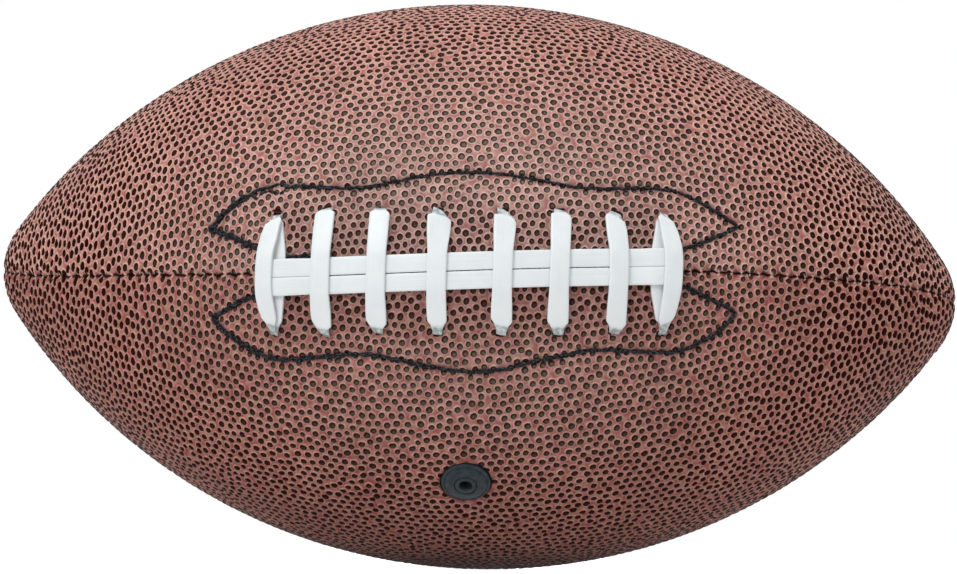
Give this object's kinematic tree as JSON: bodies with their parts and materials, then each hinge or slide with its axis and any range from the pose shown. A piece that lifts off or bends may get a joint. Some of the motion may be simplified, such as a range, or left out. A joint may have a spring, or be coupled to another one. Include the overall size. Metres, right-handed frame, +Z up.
{
  "type": "american football",
  "caption": "American football: pebbled leather panels sewn round a rubber bladder, with a white lace along one seam and a rubber valve for a pump needle.",
  "frame": {"origin": "centre of the ball, halfway along its long axis", "axes": "+X along the long axis, the lace faces -Y, +Z up"},
  "size_m": [0.285, 0.1714, 0.1684],
  "materials": {
    "leather": "pebbled, semi-matt",
    "lining_cloth": "woven, matt",
    "facing_cloth": "coated cloth, matt",
    "bladder_rubber": "smooth",
    "valve_rubber": "moulded, matt",
    "core_rubber": "moulded, matt",
    "patch_rubber": "matt",
    "lace": "vinyl, satin",
    "seam_thread": "waxed thread",
    "facing_thread": "twisted thread"
  },
  "bodies": {
    "ball": {"panel_upper_front": "leather", "panel_lower_front": "leather", "panel_upper_rear": "leather", "panel_lower_rear": "leather", "lining_upper_front": "lining_cloth", "lining_lower_front": "lining_cloth", "lining_upper_rear": "lining_cloth", "lining_lower_rear": "lining_cloth", "facing_upper": "facing_cloth", "facing_lower": "facing_cloth", "seam_thread_front_left": "seam_thread", "seam_thread_front_right": "seam_thread", "seam_thread_top": "seam_thread", "seam_thread_rear": "seam_thread", "seam_thread_bottom": "seam_thread", "facing_stitch_upper": "facing_thread", "facing_stitch_lower": "facing_thread", "lace_rail_upper": "lace", "lace_rail_lower": "lace", "lace_cross_2": "lace", "lace_cross_3": "lace", "lace_cross_4": "lace", "lace_cross_5": "lace", "lace_cross_6": "lace", "lace_cross_7": "lace", "lace_end_left_under": "lace", "lace_end_left_over": "lace", "lace_end_right_under": "lace", "lace_end_right_over": "lace", "lace_inner_runs": "lace", "bladder": "bladder_rubber", "valve_patch": "patch_rubber"},
    "valve": {"valve_body": "valve_rubber"},
    "valve_core": {"valve_core": "core_rubber"}
  },
  "joints": [
    {"name": "valve_press", "type": "slide", "parent": "ball", "child": "valve", "axis": [0, 0.7071, 0.7071], "range_m": [0, 0.002], "stiffness_N_per_m": 800, "springref_m": -0.002},
    {"name": "valve_core_pull", "type": "slide", "parent": "valve", "child": "valve_core", "axis": [0, -0.7071, -0.7071], "range_m": [0, 0.014]}
  ]
}
